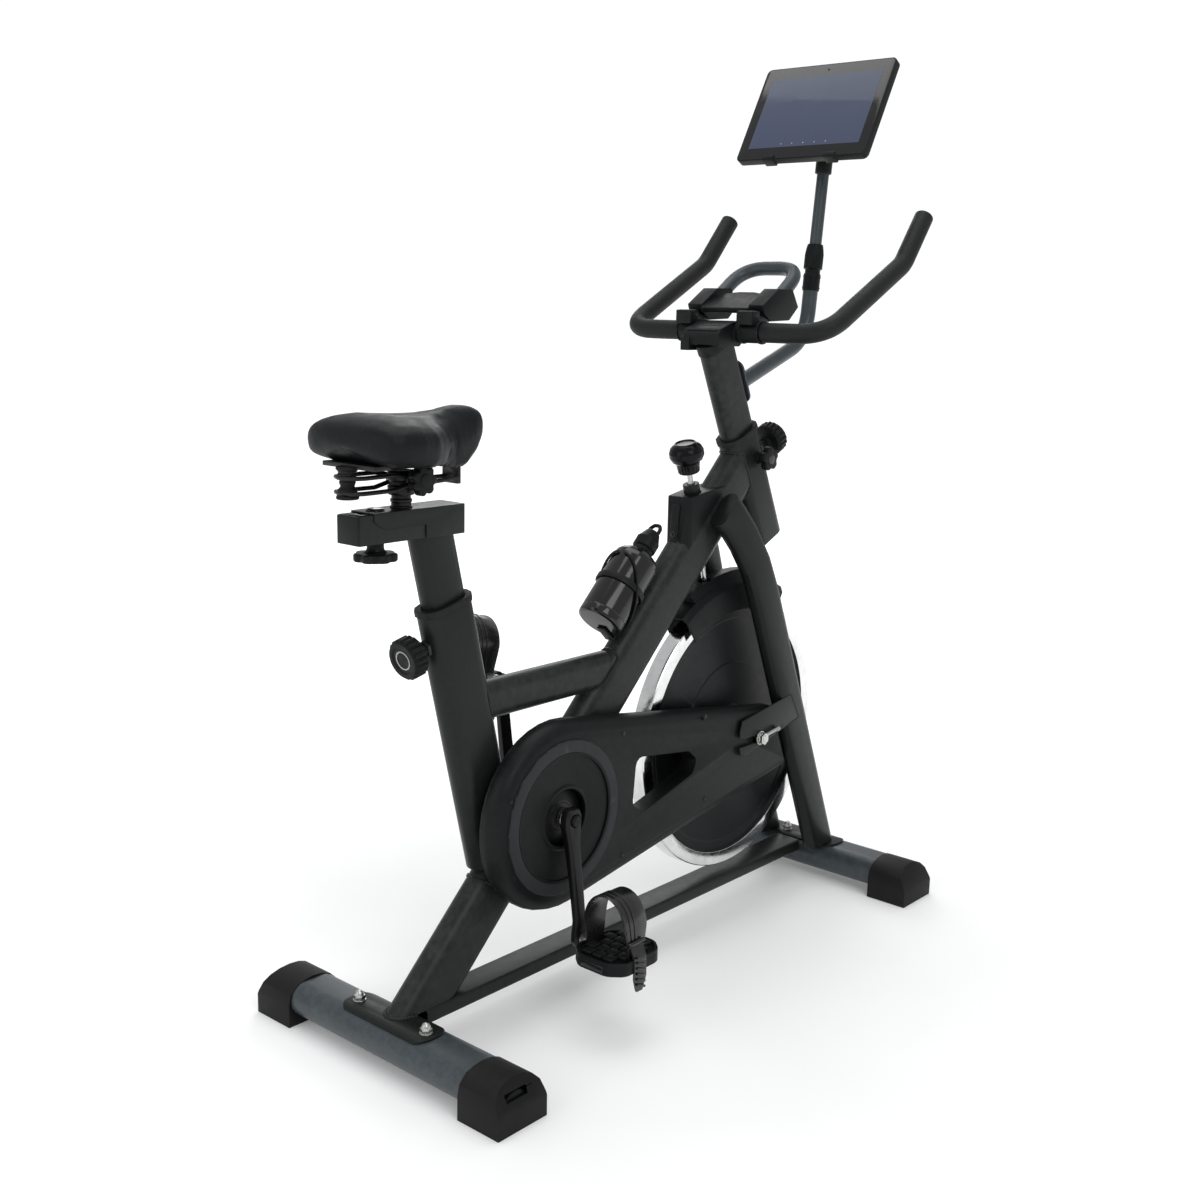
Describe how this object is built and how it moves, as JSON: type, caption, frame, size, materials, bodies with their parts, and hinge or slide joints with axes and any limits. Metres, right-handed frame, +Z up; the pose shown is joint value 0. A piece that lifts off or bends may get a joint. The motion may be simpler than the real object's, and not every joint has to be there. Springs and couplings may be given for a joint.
{
  "type": "spin bike",
  "caption": "Upright indoor spin bike with a belt-driven flywheel, friction brake, sliding saddle and handlebar posts, bottle cage and a tablet on a telescopic mast.",
  "frame": {"origin": "on the floor under the middle of the bounding box", "axes": "+X forwards, +Y to the rider's left, +Z up"},
  "size_m": [1.125, 0.5, 1.4311],
  "materials": {
    "frame_paint": "satin dark grey powder coat",
    "blue_grey_paint": "satin blue-grey powder coat",
    "black_paint": "satin black paint",
    "black_plastic": "fine-grained moulded plastic",
    "gloss_plastic": "glossy moulded plastic",
    "rubber": "matt black rubber",
    "foam": "closed-cell foam grip",
    "chrome": "plated and polished",
    "steel": "zinc plated",
    "vinyl": "grained black vinyl"
  },
  "bodies": {
    "frame": {"main_tube": "frame_paint", "seat_tube": "frame_paint", "top_tube": "frame_paint", "head_tube": "frame_paint", "bottom_beam": "frame_paint", "fork_leg_left": "frame_paint", "fork_leg_right": "frame_paint", "rear_stabiliser": "blue_grey_paint", "front_stabiliser": "blue_grey_paint", "rear_foot_plate": "frame_paint", "front_foot_plate": "frame_paint", "rear_cap_left": "rubber", "rear_cap_right": "rubber", "front_cap_left": "rubber", "front_cap_right": "rubber", "crank_shell": "frame_paint", "seat_tube_bush": "rubber", "head_tube_bush": "rubber", "flywheel_axle": "steel", "belt_guard_outer": "black_plastic", "belt_guard_inner": "black_plastic", "drive_belt": "rubber", "flywheel_fender": "black_plastic", "brake_cover": "black_plastic", "bottle_cage": "black_plastic"},
    "crank": {"crank_spindle": "steel", "crank_pulley": "steel", "crank_arm_left": "black_paint", "crank_arm_right": "black_paint"},
    "left_pedal": {"pedal_left": "black_plastic", "pedal_strap_left": "rubber"},
    "right_pedal": {"pedal_right": "black_plastic", "pedal_strap_right": "rubber"},
    "wheel": {"flywheel": "chrome", "flywheel_pulley": "steel"},
    "left_roller": {"transport_wheel_left": "black_plastic"},
    "right_roller": {"transport_wheel_right": "black_plastic"},
    "seat_mast": {"seat_post": "frame_paint"},
    "seat_pin": {"seat_knob": "black_plastic"},
    "carriage": {"saddle_carriage": "frame_paint"},
    "slider_clamp": {"slider_knob": "black_plastic"},
    "saddle": {"saddle_frame": "black_paint", "saddle_pad": "vinyl"},
    "bar_mast": {"handlebar_post": "blue_grey_paint", "stem": "black_plastic", "handlebar": "steel", "grip_left": "foam", "grip_right": "foam", "bar_loop": "blue_grey_paint", "bar_tray": "black_plastic", "mast_lower": "blue_grey_paint"},
    "post_pin": {"post_knob": "black_plastic"},
    "side_clamp": {"clamp_knob": "black_plastic"},
    "brake": {"brake_rod": "steel"},
    "brake_grip": {"brake_knob": "gloss_plastic"},
    "mast_lock": {"mast_collar": "black_plastic"},
    "mast_slider": {"mast_upper": "blue_grey_paint"},
    "tablet_swivel": {"tablet_holder": "black_plastic"},
    "tablet_body": {"tablet": "black_plastic"},
    "bottle": {"water_bottle": "gloss_plastic"}
  },
  "joints": [
    {"name": "flywheel_spin", "type": "hinge", "parent": "frame", "child": "wheel", "pos_m": [0.2612, 0, 0.3185], "axis": [0, 1, 0], "continuous": true},
    {"name": "crank_spin", "type": "hinge", "parent": "frame", "child": "crank", "pos_m": [-0.2155, 0, 0.2995], "axis": [0, 1, 0], "continuous": true},
    {"name": "pedal_left_spin", "type": "hinge", "parent": "crank", "child": "left_pedal", "pos_m": [-0.2155, 0.071, 0.4745], "axis": [0, 1, 0], "continuous": true},
    {"name": "pedal_right_spin", "type": "hinge", "parent": "crank", "child": "right_pedal", "pos_m": [-0.2155, -0.108, 0.1245], "axis": [0, 1, 0], "continuous": true},
    {"name": "roller_left_spin", "type": "hinge", "parent": "frame", "child": "left_roller", "pos_m": [-0.4843, 0.233, 0.0265], "axis": [0, 1, 0], "continuous": true},
    {"name": "roller_right_spin", "type": "hinge", "parent": "frame", "child": "right_roller", "pos_m": [-0.4843, -0.233, 0.0265], "axis": [0, 1, 0], "continuous": true},
    {"name": "seat_height", "type": "slide", "parent": "frame", "child": "seat_mast", "axis": [-0.2368, 0, 0.9715], "range_m": [-0.06, 0.16]},
    {"name": "seat_pin_pull", "type": "slide", "parent": "frame", "child": "seat_pin", "axis": [-0.9715, 0, -0.2368], "range_m": [0, 0.012], "stiffness_N_per_m": 800, "springref_m": -0.004},
    {"name": "saddle_slide", "type": "slide", "parent": "seat_mast", "child": "carriage", "axis": [1, 0, 0], "range_m": [-0.02, 0.031]},
    {"name": "slider_knob_turn", "type": "hinge", "parent": "carriage", "child": "slider_clamp", "pos_m": [-0.5065, 0, 0.7267], "axis": [0, 0, 1], "continuous": true},
    {"name": "saddle_tilt", "type": "hinge", "parent": "carriage", "child": "saddle", "pos_m": [-0.457, 0, 0.8045], "axis": [0, 1, 0], "range_deg": [-8, 8]},
    {"name": "bar_height", "type": "slide", "parent": "frame", "child": "bar_mast", "axis": [-0.4195, 0, 0.9078], "range_m": [-0.03, 0.09]},
    {"name": "post_pin_pull", "type": "slide", "parent": "frame", "child": "post_pin", "axis": [0.9078, 0, 0.4195], "range_m": [0, 0.012], "stiffness_N_per_m": 800, "springref_m": -0.004},
    {"name": "clamp_knob_turn", "type": "hinge", "parent": "frame", "child": "side_clamp", "pos_m": [0.29912, 0, 0.78301], "axis": [0, -1, 0], "continuous": true},
    {"name": "brake_push", "type": "slide", "parent": "frame", "child": "brake", "axis": [0.2672, 0, -0.9636], "range_m": [0, 0.003], "stiffness_N_per_m": 2500, "springref_m": -0.006},
    {"name": "brake_knob_turn", "type": "hinge", "parent": "brake", "child": "brake_grip", "pos_m": [0.1485, 0, 0.735], "axis": [0.2672, 0, -0.9636], "continuous": true},
    {"name": "mast_collar_turn", "type": "hinge", "parent": "bar_mast", "child": "mast_lock", "pos_m": [0.4611, 0, 1.048], "axis": [0.1097, 0, 0.994], "continuous": true},
    {"name": "mast_height", "type": "slide", "parent": "bar_mast", "child": "mast_slider", "axis": [0.1097, 0, 0.994], "range_m": [-0.005, 0.05]},
    {"name": "tablet_turn", "type": "hinge", "parent": "mast_slider", "child": "tablet_swivel", "pos_m": [0.4611, 0, 1.048], "axis": [0.1097, 0, 0.994], "continuous": true},
    {"name": "tablet_tilt", "type": "hinge", "parent": "tablet_swivel", "child": "tablet_body", "pos_m": [0.472, 0, 1.309], "axis": [0, 1, 0], "range_deg": [-25, 25]},
    {"name": "bottle_lift", "type": "slide", "parent": "frame", "child": "bottle", "axis": [0.7071, 0, 0.7071], "range_m": [0, 0.065]}
  ],
  "couplings": [
    {"joint": "crank_spin", "follows": "flywheel_spin", "ratio": 0.32653}
  ]
}
